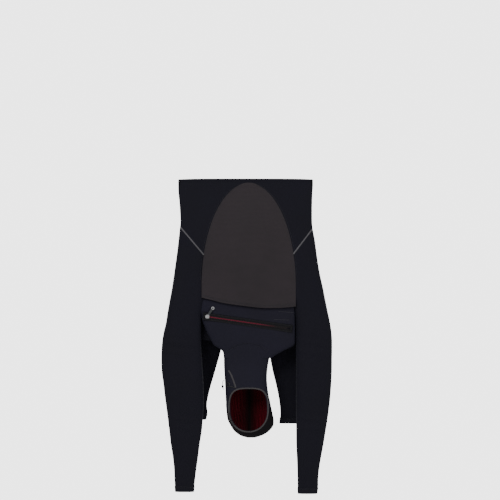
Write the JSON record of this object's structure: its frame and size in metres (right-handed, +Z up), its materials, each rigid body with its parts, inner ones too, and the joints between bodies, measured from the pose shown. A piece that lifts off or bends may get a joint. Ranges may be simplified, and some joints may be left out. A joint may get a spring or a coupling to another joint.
{
  "type": "full wetsuit",
  "caption": "Hooded long-sleeved wetsuit with a chest entry zip, hung folded over a bar at the hips with its torso head down in front and its legs behind.",
  "frame": {"origin": "axis of the round bar the suit is folded over, half way along the hips", "axes": "+Z up; +X along the bar, towards the suit's right-hand side as seen from the front; -Y the side the chest faces"},
  "size_m": [0.547, 0.1367, 1.011],
  "materials": {
    "jersey_neoprene": "matt black jersey face on closed-cell foam",
    "smoothskin": "fine-meshed smooth rubber skin",
    "knee_rubber": "abrasion-resistant coated knit",
    "seam_tape": "pale grey welded seam tape",
    "face_binding": "pale grey bound edge",
    "red_plush": "dark red ribbed plush lining",
    "zip_tape": "woven black tape",
    "zip_teeth": "moulded red teeth",
    "metal": "bright plated metal",
    "pull_webbing": "grey webbing",
    "elastic_cord": "grey elastic cord",
    "lock_plastic": "black moulded plastic"
  },
  "bodies": {
    "torso": {"chest_panel": "smoothskin", "belly_panel": "jersey_neoprene", "left_side_panel": "jersey_neoprene", "right_side_panel": "jersey_neoprene", "hip_fold_liner": "jersey_neoprene", "back_panel": "jersey_neoprene", "left_underarm_tape": "seam_tape", "right_underarm_tape": "seam_tape", "bib_upper_panel": "jersey_neoprene", "yoke_panel": "jersey_neoprene", "inner_zip_flap": "jersey_neoprene", "left_shoulder_gusset": "jersey_neoprene", "right_shoulder_gusset": "jersey_neoprene", "left_shoulder_closure": "jersey_neoprene", "right_shoulder_closure": "jersey_neoprene", "upper_back_panel": "jersey_neoprene", "neck_seam_tape": "seam_tape", "zip_tape_upper": "zip_tape", "zip_tape_lower": "zip_tape", "zip_teeth_upper": "zip_teeth", "zip_teeth_lower": "zip_teeth", "zip_stop_closed": "metal", "zip_stop_open": "metal"},
    "slider": {"zip_slider": "metal"},
    "pull": {"zip_pull_hook": "metal", "zip_pull_tab": "pull_webbing", "zip_pull_eyelet": "metal"},
    "seat": {"seat_panel": "jersey_neoprene", "lower_front_panel": "jersey_neoprene", "crotch_gusset": "jersey_neoprene"},
    "hood": {"neck_front_panel": "jersey_neoprene", "neck_back_panel": "jersey_neoprene", "hood_face_panel": "smoothskin", "hood_crown_panel": "smoothskin", "face_trim": "face_binding", "hood_lining_left": "red_plush", "hood_lining_right": "red_plush", "drawcord_patch": "seam_tape", "drawcord_loop": "elastic_cord"},
    "cord_lock": {"cord_lock_body": "lock_plastic"},
    "lock_button": {"cord_lock_button": "lock_plastic"},
    "left_thigh": {"left_thigh": "jersey_neoprene"},
    "left_shin": {"left_shin": "jersey_neoprene", "left_ankle_hem": "jersey_neoprene", "left_knee_pad": "knee_rubber"},
    "left_upper_arm": {"left_upper_sleeve": "jersey_neoprene"},
    "left_forearm": {"left_forearm": "jersey_neoprene", "left_wrist_hem": "jersey_neoprene"},
    "right_thigh": {"right_thigh": "jersey_neoprene"},
    "right_shin": {"right_shin": "jersey_neoprene", "right_ankle_hem": "jersey_neoprene", "right_knee_pad": "knee_rubber"},
    "right_upper_arm": {"right_upper_sleeve": "jersey_neoprene"},
    "right_forearm": {"right_forearm": "jersey_neoprene", "right_wrist_hem": "jersey_neoprene"}
  },
  "joints": [
    {"name": "seat_swing", "type": "hinge", "parent": "torso", "child": "seat", "pos_m": [0, 0, 0], "axis": [1, 0, 0], "range_deg": [0, 24]},
    {"name": "hood_nod", "type": "hinge", "parent": "torso", "child": "hood", "pos_m": [0, -0.031, -0.535], "axis": [-1, 0, 0], "range_deg": [-5, 10]},
    {"name": "zip_slide", "type": "slide", "parent": "torso", "child": "slider", "axis": [0.9895, 0, -0.1444], "range_m": [0, 0.262]},
    {"name": "zip_pull_flip", "type": "hinge", "parent": "slider", "child": "pull", "pos_m": [-0.126, -0.0563, -0.419], "axis": [0.8241, 0, -0.5664], "range_deg": [0, 165]},
    {"name": "cord_lock_slide", "type": "slide", "parent": "hood", "child": "cord_lock", "axis": [0, 0, 1], "range_m": [0, 0.01]},
    {"name": "cord_lock_press", "type": "slide", "parent": "cord_lock", "child": "lock_button", "axis": [0, 1, 0], "range_m": [0, 0.0013], "stiffness_N_per_m": 250, "springref_m": -0.001},
    {"name": "left_hip_swing", "type": "hinge", "parent": "seat", "child": "left_thigh", "pos_m": [0, 0.031, -0.119], "axis": [1, 0, 0], "range_deg": [0, 18]},
    {"name": "left_knee_bend", "type": "hinge", "parent": "left_thigh", "child": "left_shin", "pos_m": [0, 0.034, -0.44], "axis": [1, 0, 0], "range_deg": [-3, 20]},
    {"name": "left_shoulder_swing", "type": "hinge", "parent": "torso", "child": "left_upper_arm", "pos_m": [0, -0.039, -0.511], "axis": [-1, 0, 0], "range_deg": [0, 23]},
    {"name": "left_elbow_bend", "type": "hinge", "parent": "left_upper_arm", "child": "left_forearm", "pos_m": [0, -0.04, -0.754], "axis": [-1, 0, 0], "range_deg": [0, 28]},
    {"name": "right_hip_swing", "type": "hinge", "parent": "seat", "child": "right_thigh", "pos_m": [0, 0.031, -0.119], "axis": [1, 0, 0], "range_deg": [0, 18]},
    {"name": "right_knee_bend", "type": "hinge", "parent": "right_thigh", "child": "right_shin", "pos_m": [0, 0.034, -0.44], "axis": [1, 0, 0], "range_deg": [-3, 20]},
    {"name": "right_shoulder_swing", "type": "hinge", "parent": "torso", "child": "right_upper_arm", "pos_m": [0, -0.039, -0.511], "axis": [-1, 0, 0], "range_deg": [0, 23]},
    {"name": "right_elbow_bend", "type": "hinge", "parent": "right_upper_arm", "child": "right_forearm", "pos_m": [0, -0.04, -0.754], "axis": [-1, 0, 0], "range_deg": [0, 28]}
  ]
}
